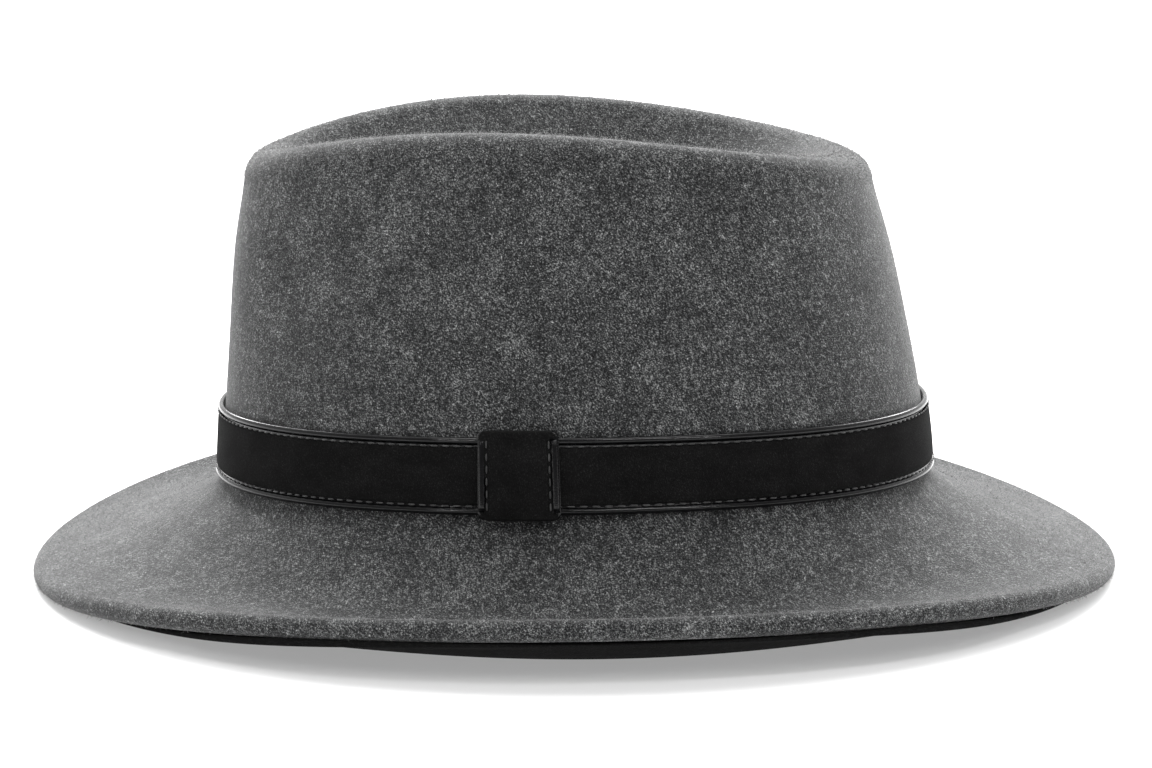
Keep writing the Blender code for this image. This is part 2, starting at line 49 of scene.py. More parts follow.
UP = np.array([0.0, 0.0, 1.0])

# Crown: an oval foot and a teardrop ridge round the dent.
FOOT_HALF_LENGTH = 0.1053
FOOT_HALF_WIDTH = 0.0871
FOOT_HEIGHT = 0.0262
FOOT_SIDE_RISE = 0.0043
FOOT_BACK_RISE = 0.0008
RIDGE_HALF_LENGTH = 0.083
RIDGE_HALF_WIDTH = 0.0615
RIDGE_MIDDLE_Y = -0.005
RIDGE_TAPER = 0.29
RIDGE_HEIGHT = 0.1340
RIDGE_FALL_TO_BACK = 0.0061
RIDGE_ARCH = 0.0105
RIDGE_FRONT_DROP = 0.0046
RIDGE_REACH = 0.090
RIDGE_RADIUS_SIDE = 0.0066
RIDGE_RADIUS_END = 0.0092
DENT_FLOOR = 0.0994
DENT_MIDDLE_Y = 0.004
DENT_STEEP_SIDE = math.radians(50)
DENT_STEEP_END = math.radians(36)
DENT_WALL_PULL = 0.85
DENT_FLOOR_PULL = 0.42
BULGE_FRONT = 0.0056
BULGE_SIDE = 0.0100
BULGE_BACK = 0.0165
SHOULDER = 0.10
PINCH_DEPTH = 0.0016
PINCH_ANGLE = 0.56
PINCH_SPREAD = 0.24
PINCH_STARTS = 0.3
FOOT_ROUNDING = 0.0035
BRIM_REACH = 0.055
FOOT_BRIM_SHARE = FOOT_ROUNDING / BRIM_REACH

# Brim: an oval edge that touches the ground at the front and back and curls up at the sides.
EDGE_HALF_LENGTH = 0.1613
EDGE_HALF_WIDTH = 0.1419
EDGE_SIDE_RISE = 0.0166
EDGE_SIDE_FLAT = 0.0031
EDGE_RADIUS = 0.0029
EDGE_SUNK = 0.0005
BRIM_START_END = -0.62
BRIM_START_SIDE = -1.25
BRIM_EDGE_END = -0.33
BRIM_EDGE_SIDE = 1.02
BRIM_EDGE_GROWTH = 1.3

# Felt, facing, lining and sweatband: thicknesses, and stations where they start and end.
FELT = 0.0022
GAP = 0.0003
FACING = 0.0022
FACING_SWELL = 0.0017
FACING_START = 3.4
FACING_END = 4.95
LINING_SEAM = 1.67
LINING_TIP_END = 1.52
LINING_SIDE_START = 1.82
LINING_SIDE_END = 2.74
PLEATS = 90
PLEAT_DEPTH = 0.0002
PLEATS_END = 2.7
PLEATS_FADE = 0.5
CREASES = 34
CREASE_DEPTH = 0.00018
CREASES_START = 0.3
LINING = 0.0006
LINING_DEPTH = FELT + 2 * GAP
SWEATBAND = 0.0012
HEM_RETURN = 0.0008
LIP = 0.0020
LIP_THINNEST = 0.0004
LIP_REACH = 0.0016
LIP_BACK = HEM_RETURN + 0.0010
LIP_STARTS = 0.14
LIP_WHOLE = 0.80
WIRE_RADIUS = 0.00042
WIRE_END_GAP = 0.0004
REED_RADIUS = 0.0011
SWEATBAND_FOOT = 0.0016
SWEATBAND_HEIGHT = 0.034
SWEATBAND_END_GAP = 0.0003
SEAM_HEIGHT = 0.003
SEAM_STITCHES = 210
PIPING_RADIUS = 0.0007
PIPING_TWISTS = 160
PIPING_TWIST_DEPTH = 0.06
RIBBON = 0.0005
BOW_PLACE = 0.34
BOW_HALF_WIDTH = 0.008
BOW_HALF_HEIGHT = 0.0032
BOW_KNOT = 0.13
LABEL_PLACE = 0.42
LABEL_ANGLE = math.radians(152)
LABEL_HALF_WIDTH = 0.011
LABEL_HEIGHT = 0.010

# Band and keeper.
BAND_CLIMB = 0.0032
BAND_HEIGHT = 0.0210
BAND_LEATHER = 0.0008
BAND_BORDER = 0.0020
BAND_BORDER_LIFT = 0.0018
BAND_FLARE = 0.0005
BAND_RAMP_CLEAR = 0.003
BAND_RAMP_LENGTH = 0.012
BAND_END_GAP = 0.0002
SUEDE = 0.0007
SUEDE_GAP = 0.0002
SUEDE_BEVEL = 0.0009
SUEDE_SUNK = 0.0002
THREAD = 0.0004
THREAD_CHANNEL = 0.0009
KEEPER_Y = -0.0220
KEEPER_HALF_WIDTH = 0.0111
KEEPER_BACK = 0.0005
KEEPER_BACK_LIFT = 0.0004
KEEPER_FRONT = 0.0008
KEEPER_BELOW = 0.0013
KEEPER_ABOVE = 0.0019
KEEPER_BORDER = 0.0020
KEEPER_BORDER_LIFT = 0.0017
KEEPER_TRAVEL = 0.008
KEEPER_CORNER = 0.0022
KEEPER_ROLL_END = 0.0023
KEEPER_ROLL_FADE = 0.0016
KEEPER_ROLL_INSET = 0.0002
KEEPER_FACE_INSET = 0.0006
KEEPER_FACE_FADE = 0.0006
KEEPER_STITCH_INSET = 0.0038
KEEPER_STITCH_PITCH = 0.0033
KEEPER_SIDES = ("front", -1), ("back", 1)
BAND_STANDOFF = KEEPER_BACK_LIFT + KEEPER_BACK
STITCH_PITCH = 0.0031
STITCH_LENGTH = 0.0022
STITCH_SUNK = 0.0001
STITCH_ARCH = 0.00022
STITCH_FLATNESS = 0.8

# Loose hairs: lengths, how far they stand up, radii, and the corners of each hair's faces.
HAIR_SUNK = 0.0001
HAIR_LENGTHS = 0.0005, 0.0018
HAIR_STANDS = 0.25, 0.85
HAIR_RADII = 0.000022, 0.000045
HAIR_FACES = (0, 1, 4, 3), (1, 2, 5, 4), (2, 0, 3, 5), (3, 4, 6), (4, 5, 6), (5, 3, 6), (2, 1, 0)
# Name, how many, and the stations that hold the hairs up to each share of them.
LOOSE_FIBRES = (
    ("crown_loose_fibres", 18000, [0.0, 0.1, 0.6, 1.0], [0.2, 1.0, 2.0, 2.68]),
    ("ridge_loose_fibres", 9000, [0.0, 1.0], [1.1, 2.05]),
    ("brim_loose_fibres", 18000, [0.0, 0.5, 0.65, 1.0], [4.14, 4.9, 5.0, 5.9]),
)

# Floor, light and camera.
FLOOR_SIZE = 3.6
FLOOR_GLOW = 0.33
GLOW_FROM_BELOW = 1.2
GLOW_FROM_ABOVE = 0.34
GLOW_CHANGE = -0.4, 0.6
AIM_HEIGHT = 0.06
# Name, azimuth and elevation in degrees, distance, size, power in watts.
SOFTBOXES = (
    ("key", 266, 38, 2.4, (2.8, 1.4), 170.0),
    ("overhead", 265, 74, 2.0, (1.8, 1.4), 52.0),
    ("left_strip", 48, 30, 1.6, (0.08, 0.45), 4.5),
    ("right_strip", 122, 30, 1.6, (0.08, 0.45), 4.5),
    ("upper_strip", 107, 50, 1.6, (0.6, 0.10), 8.0),
)
CAMERA_AZIMUTH = math.radians(85.31)
CAMERA_PITCH = math.radians(10.77)
CAMERA_DISTANCE = 0.896
CAMERA_HEIGHT = 0.2241
LENS = 95.5


# ---------------------------------------------------------------- the hat's shape


def unit(vectors):
    return vectors / np.linalg.norm(vectors, axis=-1, keepdims=True)


def across(x, y, z):
    return np.stack(np.broadcast_arrays(x, y, z), axis=-1)


def around(count):
    return np.arange(count) * 2 * math.pi / count


def sideways(angle):
    """0 at the front and back, 1 at the sides."""
    return np.sin(angle) ** 2


def eased(share):
    """0 to 1 with a soft start and end."""
    return share * share * (3 - 2 * share)


def foot(angle):
    height = FOOT_HEIGHT + FOOT_SIDE_RISE * sideways(angle) + FOOT_BACK_RISE * (1 - np.cos(angle)) / 2
    return across(FOOT_HALF_WIDTH * np.sin(angle), -FOOT_HALF_LENGTH * np.cos(angle), height)


def ridge_radius(angle):
    return RIDGE_RADIUS_END + (RIDGE_RADIUS_SIDE - RIDGE_RADIUS_END) * sideways(angle)


def ridge_centre(angle):
    y = RIDGE_MIDDLE_Y - RIDGE_HALF_LENGTH * np.cos(angle)
    x = RIDGE_HALF_WIDTH * np.sin(angle) * (1 - RIDGE_TAPER * np.cos(angle))
    reach = y / RIDGE_REACH
    top = RIDGE_HEIGHT - RIDGE_FALL_TO_BACK * reach - RIDGE_ARCH * reach**2 + RIDGE_FRONT_DROP * reach**3
    return across(x, y, top - ridge_radius(angle))


def wall_frame(angle):
    """The straight wall's foot and top, its normal, and how far it leans, before it bulges."""
    low = foot(angle)
    centre = ridge_centre(angle)
    outward = unit((low - centre) * [1.0, 1.0, 0.0])
    reach = np.sum((low - centre) * outward, axis=-1)
    rise = centre[..., 2] - low[..., 2]
    radius = ridge_radius(angle)
    lean = np.arccos(radius / np.hypot(reach, rise)) - np.arctan2(rise, reach)
    normal = np.cos(lean)[..., None] * outward + np.sin(lean)[..., None] * UP
    return low, centre + radius[..., None] * normal, normal, lean


def bulge_size(angle):
    ends = BULGE_BACK + (BULGE_FRONT - BULGE_BACK) * (1 + np.cos(angle)) / 2
    return ends + (BULGE_SIDE - ends) * sideways(angle)


def pinch(angle, share):
    turned = np.abs((angle + math.pi) % (2 * math.pi) - math.pi)
    round_it = np.exp(-(((turned - PINCH_ANGLE) / PINCH_SPREAD) ** 2))
    up_it = np.clip((share - PINCH_STARTS) / (1 - PINCH_STARTS), 0, 1)
    return PINCH_DEPTH * round_it * np.sin(math.pi * up_it) ** 2


def wall_skin(angle, climb):
    low, high, normal, _ = wall_frame(angle)
    length = np.linalg.norm(high - low, axis=-1)
    share = climb / length
    shoulder = SHOULDER * (1 - sideways(angle)) * share**6 * (1 - share) ** 2
    out = bulge_size(angle) * share * (1 - share) ** 2 + shoulder - pinch(angle, share)
    return low + (high - low) * share[..., None] + out[..., None] * normal


def wall_normal(angle, climb):
    angle, climb = np.broadcast_arrays(angle, climb)
    step = 1e-4
    along = wall_skin(angle + step, climb) - wall_skin(angle - step, climb)
    rising = wall_skin(angle, climb + step) - wall_skin(angle, climb - step)
    return unit(np.cross(along, rising))


def wall_point(angle, climb, lift):
    """A point lift metres off the wall's face, or inside it where lift is negative."""
    angle, climb, lift = np.broadcast_arrays(angle, climb, lift)
    return wall_skin(angle, climb) + lift[..., None] * wall_normal(angle, climb)


def edge_frame(angle):
    """Centre of the rolled edge, directions out along the brim and up from it, flat outward, slope."""
    share = sideways(angle)
    rise = EDGE_SIDE_RISE * share - EDGE_SIDE_FLAT * share**2
    centre = across(
        (EDGE_HALF_WIDTH - EDGE_RADIUS) * np.sin(angle),
        -(EDGE_HALF_LENGTH - EDGE_RADIUS) * np.cos(angle),
        EDGE_RADIUS - EDGE_SUNK + rise,
    )
    outward = unit((centre - foot(angle)) * [1.0, 1.0, 0.0])
    slope = BRIM_EDGE_END + (BRIM_EDGE_SIDE - BRIM_EDGE_END) * share**BRIM_EDGE_GROWTH
    along = unit(outward + slope[..., None] * UP)
    above = unit(UP - slope[..., None] * outward)
    return centre, along, above, outward, slope


def brim_skin(angle, share):
    centre, _, above, outward, slope = edge_frame(angle)
    low = foot(angle)
    end = centre + EDGE_RADIUS * above
    reach = np.sum((end - low) * outward, axis=-1)
    start_slope = BRIM_START_END + (BRIM_START_SIDE - BRIM_START_END) * sideways(angle)
    height = (
        (2 * share**3 - 3 * share**2 + 1) * low[..., 2]
        + (share**3 - 2 * share**2 + share) * start_slope * reach
        + (3 * share**2 - 2 * share**3) * end[..., 2]
        + (share**3 - share**2) * slope * reach
    )
    flat = low + (end - low) * share[..., None]
    return across(flat[..., 0], flat[..., 1], height)


def foot_skin(angle, share):
    upper = wall_skin(angle, np.full_like(angle, FOOT_ROUNDING))
    lower = brim_skin(angle, np.full_like(angle, FOOT_BRIM_SHARE))
    share = share[..., None]
    return upper * (1 - share) ** 2 + foot(angle) * 2 * share * (1 - share) + lower * share**2


def dent_steepness(angle):
    return DENT_STEEP_END + (DENT_STEEP_SIDE - DENT_STEEP_END) * sideways(angle)


def dent_middle(angle):
    return across(np.zeros_like(angle), DENT_MIDDLE_Y, DENT_FLOOR)


def ridge_skin(angle, share):
    _, _, _, lean = wall_frame(angle)
    centre = ridge_centre(angle)
    steep = dent_steepness(angle)
    turn = math.pi / 2 + steep + (lean - math.pi / 2 - steep) * share
    outside = unit((foot(angle) - centre) * [1.0, 1.0, 0.0])
    inside = unit((centre - dent_middle(angle)) * [1.0, 1.0, 0.0])
    outward = np.where((turn < math.pi / 2)[..., None], outside, inside)
    radius = ridge_radius(angle)[..., None]
    return centre + radius * (np.cos(turn)[..., None] * outward + np.sin(turn)[..., None] * UP)


def dent_skin(angle, share):
    rim = ridge_skin(angle, np.zeros_like(angle))
    middle = dent_middle(angle)
    steep = dent_steepness(angle)
    inward = unit((middle - rim) * [1.0, 1.0, 0.0])
    down = np.cos(steep)[..., None] * inward - np.sin(steep)[..., None] * UP
    depth = rim[..., 2] - DENT_FLOOR
    near_rim = rim + down * (DENT_WALL_PULL * depth / np.sin(steep))[..., None]
    near_middle = middle + DENT_FLOOR_PULL * (rim - middle) * [1.0, 1.0, 0.0]
    share = share[..., None]
    back = 1 - share
    floor = middle * back**3 + near_middle * 3 * share * back**2
    return floor + near_rim * 3 * share**2 * back + rim * share**3


def roll_skin(angle, share):
    """The rolled edge, from its top at 0 to its bottom at 1."""
    centre, along, above, _, _ = edge_frame(angle)
    turn = math.pi * share[..., None]
    return centre + EDGE_RADIUS * (np.cos(turn) * above + np.sin(turn) * along)


def skin(angle, station):
    """The hat's outer surface. Stations: 0 to 1 dent, 2 ridge, 3 wall, 4 foot, 5 brim, 6 rolled edge."""
    angle, station = np.broadcast_arrays(np.asarray(angle, float), np.asarray(station, float))
    _, high, _, _ = wall_frame(angle)
    length = np.linalg.norm(high - foot(angle), axis=-1)
    pieces = (
        dent_skin(angle, np.clip(station, 0, 1)),
        ridge_skin(angle, np.clip(station - 1, 0, 1)),
        wall_skin(angle, length + (FOOT_ROUNDING - length) * np.clip(station - 2, 0, 1)),
        foot_skin(angle, np.clip(station - 3, 0, 1)),
        brim_skin(angle, FOOT_BRIM_SHARE + (1 - FOOT_BRIM_SHARE) * np.clip(station - 4, 0, 1)),
        roll_skin(angle, np.clip(station - 5, 0, 1)),
    )
    return np.choose(np.clip(station.astype(int), 0, 5)[..., None], pieces)


def skin_normal(angle, station):
    """The skin's outward normal. The brim's own is taken up to its edge, where the roll begins."""
    angle, station = np.broadcast_arrays(np.asarray(angle, float), np.asarray(station, float))
    step = 1e-3
    along = skin(angle + step, station) - skin(angle - step, station)
    after = np.where(station <= 5, np.minimum(station + step, 5), station + step)
    outward = skin(angle, after) - skin(angle, np.maximum(station - step, 1e-4))
    return unit(np.cross(outward, along))


def layer(angle, station, depth):
    """Points depth metres below the skin."""
    return skin(angle, station) - np.asarray(depth)[..., None] * skin_normal(angle, station)


# ---------------------------------------------------------------- mesh building


def add_piece(name, rings, material, body="hat", nodes=(), wrap=False):
    """A closed surface through rings of points. A ring of one point is a pole. Without wrap, a first
    or last ring of more points is closed by a face."""
    starts = np.cumsum([0] + [len(ring) for ring in rings])
    points = np.concatenate(rings)
    pairs = list(zip(range(len(rings)), range(1, len(rings))))
    if wrap:
        pairs.append((len(rings) - 1, 0))
    faces = []
    for one, two in pairs:
        count = max(len(rings[one]), len(rings[two]))
        index = np.arange(count)
        after = (index + 1) % count
        if len(rings[one]) == 1:
            corners = [starts[one] + 0 * index, starts[two] + after, starts[two] + index]
        elif len(rings[two]) == 1:
            corners = [starts[one] + index, starts[one] + after, starts[two] + 0 * index]
        else:
            corners = [starts[one] + index, starts[one] + after, starts[two] + after, starts[two] + index]
        faces += np.stack(corners, axis=1).tolist()
    if not wrap:
        for ring, turn in ((0, -1), (len(rings) - 1, 1)):
            if len(rings[ring]) > 1:
                faces.append(list(range(starts[ring], starts[ring + 1]))[::turn])
    return add_mesh(name, points, faces, material, body, nodes)


def enclosed_volume(points, faces):
    """Positive where the faces of a closed surface look outward."""
    total = 0.0
    for sides in (3, 4):
        chosen = np.array([face for face in faces if len(face) == sides])
        if len(chosen):
            for second in range(1, sides - 1):
                corners = points[chosen[:, [0, second, second + 1]]]
                total += np.linalg.det(corners).sum()
    return total


def linked(name, data):
    """A new object in the scene."""
    made = bpy.data.objects.new(name, data)
    bpy.context.scene.collection.objects.link(made)
    return made


def add_mesh(name, points, faces, material, body, nodes):
    if enclosed_volume(points, faces) < 0:
        faces = [face[::-1] for face in faces]
    data = bpy.data.meshes.new(name)
    data.from_pydata(points.tolist(), [], faces)
    data.materials.append(material)
    data.shade_smooth()
    obj = linked(name, data)
    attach(obj, body)
    if nodes:
        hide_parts(*nodes)
    return obj


def rounded(corners, rounds=3, share=0.22):
    """A closed outline with its corners cut again and again until they are round."""
    corners = np.array(corners, float)
    for _ in range(rounds):
        after = np.roll(corners, -1, axis=0)
        corners = np.stack([corners + share * (after - corners), after + share * (corners - after)], axis=1)
        corners = corners.reshape(-1, 2)
    return corners


def filled(corners, spacing):
    """The same closed outline with points no further apart than spacing."""
    corners = np.array(corners, float)
    made = []
    for start, end in zip(corners, np.roll(corners, -1, axis=0)):
        count = max(1, math.ceil(np.linalg.norm(end - start) / spacing))
        made += [start + (end - start) * step / count for step in range(count)]
    return np.array(made)


def wall_sweep(name, material, section, angles, lift=0.0, **options):
    """An outline of (climb, lift) points carried round the crown's wall."""
    climbs, lifts = np.asarray(section, float).T
    grid = wall_point(angles[:, None], climbs[None, :], lifts[None, :] + np.reshape(lift, (-1, 1)))
    return add_piece(name, list(grid), material, **options)


def tube(centres, one, two, radius, sides=10):
    """Rings of a round bar. one and two are directions across it at each centre."""
    turns = around(sides)[None, :, None]
    reach = np.reshape(radius, (-1, 1, 1))
    return list(centres[:, None] + reach * (np.cos(turns) * one[:, None] + np.sin(turns) * two[:, None]))


def tube_faces(base, steps, sides):
    """Faces along a tube whose points lie ring after ring, from number base on."""
    faces = []
    for low in range(base, base + (steps - 1) * sides, sides):
        high = low + sides
        for index in range(sides):
            after = (index + 1) % sides
            faces.append([low + index, low + after, high + after, high + index])
    return faces


def add_stitches(name, material, angles, climbs, lifts, body="hat", nodes=()):
    """Separate stitches. angles, climbs and lifts hold one row of points for each stitch, end to end."""
    count, steps = angles.shape
    sides = 8
    centres = wall_point(angles, climbs, lifts)
    normal = wall_normal(angles, climbs)
    tangent = unit(np.gradient(centres, axis=1))
    side = unit(np.cross(tangent, normal))
    along = np.linspace(-1, 1, steps)
    radius = THREAD * 0.55 * np.sqrt(np.maximum(1 - along**4, 0.03))[None, :, None, None]
    turns = around(sides)[None, None, :, None]
    upward = STITCH_FLATNESS * np.sin(turns) * normal[:, :, None]
    rings = centres[:, :, None] + radius * (np.cos(turns) * side[:, :, None] + upward)
    faces = []
    for base in range(0, count * steps * sides, steps * sides):
        end = base + steps * sides
        faces += tube_faces(base, steps, sides)
        faces.append(list(range(base, base + sides))[::-1])
        faces.append(list(range(end - sides, end)))
    return add_mesh(name, rings.reshape(-1, 3), faces, material, body, nodes)


# ---------------------------------------------------------------- materials


def add_node(tree, kind, inputs, **settings):
    node = tree.nodes.new("ShaderNode" + kind)
    for key, value in settings.items():
        setattr(node, key, value)
    for key, value in inputs.items():
        if isinstance(value, bpy.types.NodeSocket):
            tree.links.new(value, node.inputs[key])
        else:
            node.inputs[key].default_value = value
    return node.outputs[0]


def placed(tree, cell, turn=(0.0, 0.0, 0.0)):
    """Coordinates turned, then counted in cells of the given size in metres."""
    found = tree.nodes.get("Place") or tree.nodes.new("ShaderNodeTexCoord")
    found.name = "Place"
    inputs = {"Vector": found.outputs["Object"], "Rotation": turn, "Scale": cell}
    return add_node(tree, "Mapping", inputs, vector_type="TEXTURE")


def noise(tree, cell, turn=(0.0, 0.0, 0.0), detail=2.0, roughness=0.5):
    cell = (cell,) * 3 if isinstance(cell, float) else cell
    inputs = {"Vector": placed(tree, cell, turn), "Scale": 1.0, "Detail": detail, "Roughness": roughness}
    return add_node(tree, "TexNoise", inputs)


def math_node(tree, operation, one, two):
    return add_node(tree, "Math", {0: one, 1: two}, operation=operation)


def remap(tree, value, low, high, to_low=0.0, to_high=1.0):
    inputs = {"Value": value, "From Min": low, "From Max": high, "To Min": to_low, "To Max": to_high}
    return add_node(tree, "MapRange", inputs)


def ramp(tree, value, stops):
    """A colour ramp through (position, grey or colour) stops."""
    node = tree.nodes.new("ShaderNodeValToRGB")
    tree.links.new(value, node.inputs[0])
    elements = node.color_ramp.elements
    while len(elements) < len(stops):
        elements.new(0.5)
    for element, (position, color) in zip(elements, stops):
        element.position = position
        element.color = (*((color,) * 3 if isinstance(color, float) else color), 1.0)
    return node.outputs[0]


def scaled(tree, color, factor):
    return add_node(tree, "VectorMath", {0: color, "Scale": factor}, operation="SCALE")


def bump(tree, height, distance, strength=1.0, base=None):
    inputs = {"Height": height, "Distance": distance, "Strength": strength}
    if base is not None:
        inputs["Normal"] = base
    return add_node(tree, "Bump", inputs)


def new_material(name, slot=None, **settings):
    """A Principled material. Settings are sockets of the shader, with spaces as underscores."""
    made = bpy.data.materials.new(name)
    made.use_nodes = True
    if slot:
        made["slot"] = slot
    shader = made.node_tree.nodes["Principled BSDF"]
    for key, value in settings.items():
        shader.inputs[key.replace("_", " ")].default_value = value
    return made, made.node_tree, shader


def finish_material(tree, shader, color=None, normal=None, roughness=None):
    for key, value in (("Base Color", color), ("Normal", normal), ("Roughness", roughness)):
        if value is not None:
            tree.links.new(value, shader.inputs[key])


FIBRE_TURNS = ((0.5, 0.2, 0.0), (1.3, 0.9, 0.4), (0.2, 1.5, 1.1), (2.1, 0.5, 1.9))


def felt_fibres(tree, width, length):
    """Short streaks that run every way, as in carded wool, about 0.5 on average."""
    total = None
    for turn in FIBRE_TURNS:
        streaks = noise(tree, (width, width, length), turn, detail=1.0)
        total = streaks if total is None else math_node(tree, "ADD", total, streaks)
    return math_node(tree, "DIVIDE", total, float(len(FIBRE_TURNS)))


def felt_hairs(tree, cell, turn):
    """Thin curling lines, where a noise crosses its middle value."""
    wander = noise(tree, cell, turn, detail=1.5)
    off = math_node(tree, "ABSOLUTE", math_node(tree, "SUBTRACT", wander, 0.5), 0.0)
    return remap(tree, off, 0.0, 0.014, 1.0, 0.0)


def varied(tree, value, cell, weight):
    """The value with a coarser noise of this weight added round its mean."""
    patches = math_node(tree, "SUBTRACT", noise(tree, cell, detail=2.0), 0.5)
    return math_node(tree, "ADD", value, math_node(tree, "MULTIPLY", patches, weight))


def make_grey_felt():
    made, tree, shader = new_material(
        "melange_felt", "grey_felt", Roughness=0.9, Specular_IOR_Level=0.15,
        Sheen_Weight=0.22, Sheen_Roughness=0.45,
    )
    fibres = felt_fibres(tree, 0.00034, 0.0012)
    value = varied(tree, fibres, 0.0020, 0.15)
    value = varied(tree, value, 0.012, 0.09)
    color = ramp(
        tree,
        remap(tree, value, 0.38, 0.62),
        [
            (0.0, (0.0015, 0.0016, 0.0018)),
            (0.3, (0.0094, 0.0097, 0.0101)),
            (0.6, (0.0335, 0.0343, 0.0351)),
            (1.0, (0.175, 0.178, 0.177)),
        ],
    )
    hairs = felt_hairs(tree, (0.0016, 0.0016, 0.0016), (0.3, 0.7, 0.2))
    dark_hairs = felt_hairs(tree, (0.0013, 0.0013, 0.0013), (1.1, 0.4, 0.9))
    color = scaled(tree, color, remap(tree, hairs, 0.0, 1.0, 1.0, 2.8))
    color = scaled(tree, color, remap(tree, dark_hairs, 0.0, 1.0, 1.0, 0.4))
    relief = math_node(tree, "ADD", value, math_node(tree, "MULTIPLY", hairs, 0.10))
    finish_material(tree, shader, color, bump(tree, relief, 0.0006, 0.8))
    return made


def make_loose_wool():
    """The hairs that stand off the felt. Each takes its shade from where it grows."""
    made, tree, shader = new_material(
        "loose_wool", "grey_felt", Roughness=0.85, Specular_IOR_Level=0.2, Sheen_Weight=0.3
    )
    color = ramp(tree, noise(tree, 0.0007, detail=0.0), [(0.3, 0.025), (0.5, 0.11), (0.7, 0.36)])
    finish_material(tree, shader, color)
    return made


def make_black_felt():
    made, tree, shader = new_material(
        "black_facing_felt", "black_felt", Roughness=0.95, Specular_IOR_Level=0.05,
        Sheen_Weight=0.01, Sheen_Roughness=0.5,
    )
    fibres = felt_fibres(tree, 0.0003, 0.0012)
    color = ramp(tree, remap(tree, fibres, 0.38, 0.62), [(0.0, 0.0016), (0.6, 0.0042), (1.0, 0.011)])
    finish_material(tree, shader, color, bump(tree, fibres, 0.0005, 0.7))
    return made


def leather_grain(tree, cell):
    """Pebbles with creases between them, from 0 in a crease to 1 on a pebble."""
    warp = noise(tree, cell * 3, detail=2.0)
    inputs = {"Vector": placed(tree, (cell,) * 3), "Scale": 1.0, "Randomness": 1.0}
    distance = add_node(tree, "TexVoronoi", inputs, feature="DISTANCE_TO_EDGE")
    warped = math_node(tree, "MULTIPLY", distance, remap(tree, warp, 0.3, 0.7, 0.6, 1.4))
    return remap(tree, warped, 0.0, 0.3)


def make_leather(name, slot, color, roughness, gloss):
    made, tree, shader = new_material(name, slot, Specular_IOR_Level=gloss)
    grain = leather_grain(tree, 0.0007)
    wear = noise(tree, 0.006, detail=3.0)
    shade = ramp(tree, wear, [(0.35, tuple(0.75 * c for c in color)), (0.65, tuple(1.3 * c for c in color))])
    rough = remap(tree, wear, 0.3, 0.7, roughness * 0.8, roughness * 1.35)
    finish_material(tree, shader, shade, bump(tree, grain, 0.00004, 0.3), rough)
    return made


def make_suede():
    made, tree, shader = new_material(
        "black_suede_nap", "black_suede", Roughness=0.95, Specular_IOR_Level=0.05,
        Sheen_Weight=0.018, Sheen_Roughness=0.4,
    )
    nap = noise(tree, (0.0003, 0.0003, 0.0005), (0.4, 0.2, 0.1), detail=3.0, roughness=0.6)
    brushed = noise(tree, (0.010, 0.010, 0.006), detail=3.0)
    color = ramp(tree, remap(tree, nap, 0.35, 0.7), [(0.0, 0.0028), (0.6, 0.0050), (1.0, 0.0150)])
    color = scaled(tree, color, remap(tree, brushed, 0.3, 0.7, 0.75, 1.35))
    finish_material(tree, shader, color, bump(tree, nap, 0.0002, 0.5))
    return made


def make_thread():
    made, tree, shader = new_material(
        "waxed_thread", "thread", Roughness=0.45, Specular_IOR_Level=0.4, Sheen_Weight=0.1
    )
    ply = noise(tree, (0.00012, 0.00012, 0.0006), (0.6, 0.3, 0.2), detail=1.0)
    worn = noise(tree, 0.004, detail=1.0)
    color = ramp(tree, worn, [(0.3, 0.006), (0.55, 0.014), (0.75, 0.042)])
    finish_material(tree, shader, color, bump(tree, ply, 0.0001, 0.6))
    return made


def make_satin():
    made, tree, shader = new_material(
        "lining_satin", "satin", Specular_IOR_Level=0.5, Anisotropic=0.5,
        Sheen_Weight=0.08, Sheen_Roughness=0.3,
    )
    floats = noise(tree, (0.0022, 0.0022, 0.00018), detail=1.0)
    creases = noise(tree, 0.018, detail=2.0)
    color = ramp(tree, floats, [(0.3, (0.008, 0.008, 0.0095)), (0.7, (0.020, 0.020, 0.023))])
    normal = bump(tree, creases, 0.0015, 0.35, bump(tree, floats, 0.00005, 0.6))
    finish_material(tree, shader, color, normal, remap(tree, floats, 0.3, 0.7, 0.24, 0.42))
    return made


def make_ribbon():
    made, tree, shader = new_material(
        "grosgrain", "ribbon", Roughness=0.6, Specular_IOR_Level=0.35, Sheen_Weight=0.12
    )
    inputs = {"Vector": placed(tree, (0.0008,) * 3), "Scale": 0.32, "Distortion": 0.4, "Detail": 1.0}
    ribs = add_node(tree, "TexWave", inputs, wave_type="BANDS", bands_direction="Z")
    weave = noise(tree, 0.00025, detail=1.0)
    color = ramp(tree, math_node(tree, "MULTIPLY", ribs, weave), [(0.0, 0.004), (0.5, 0.018)])
    finish_material(tree, shader, color, bump(tree, ribs, 0.00012, 0.8))
    return made


def make_steel():
    made, tree, shader = new_material("spring_steel", "steel", Metallic=1.0)
    drawn = noise(tree, (0.0003, 0.0003, 0.004), detail=2.0)
    color = ramp(tree, drawn, [(0.3, (0.26, 0.26, 0.27)), (0.7, (0.46, 0.46, 0.47))])
    relief = bump(tree, drawn, 0.00002, 0.5)
    finish_material(tree, shader, color, relief, remap(tree, drawn, 0.3, 0.7, 0.25, 0.5))
    return made


# ---------------------------------------------------------------- felt, facing and lining


